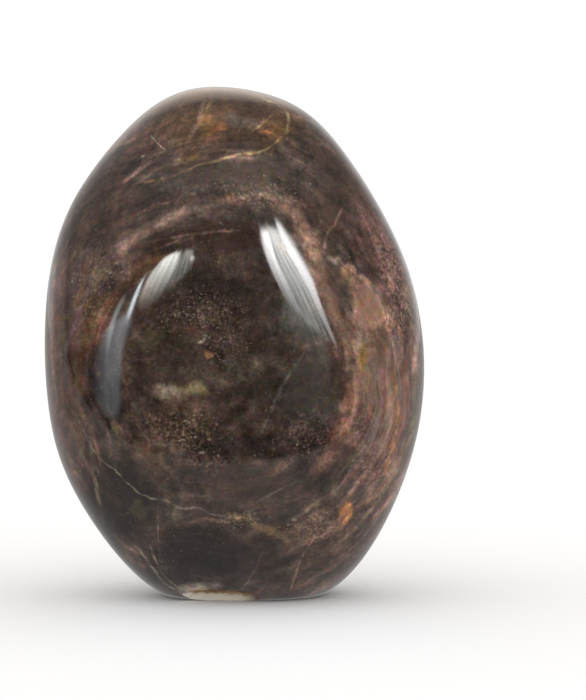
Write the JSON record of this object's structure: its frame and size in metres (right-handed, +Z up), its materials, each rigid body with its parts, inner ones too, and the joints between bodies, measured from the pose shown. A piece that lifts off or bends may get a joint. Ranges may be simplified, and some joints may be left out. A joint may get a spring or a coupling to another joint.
{
  "type": "polished black moonstone freeform",
  "caption": "Polished black moonstone, ground by hand to a soft flattened egg, with a small sawn flat underneath so that it stands upright as a display stone.",
  "frame": {"origin": "on the plane the stone stands on, under the middle of its bounding box", "axes": "+Z up, +X to the right of the picture, and the side that the picture shows faces -Y"},
  "size_m": [0.074, 0.0554, 0.0998],
  "materials": {
    "moonstone": "high polish over dark brown-black feldspar with rusty veins; the underside is sawn and only rubbed smooth"
  },
  "bodies": {
    "root": {"stone": "moonstone"}
  },
  "joints": []
}
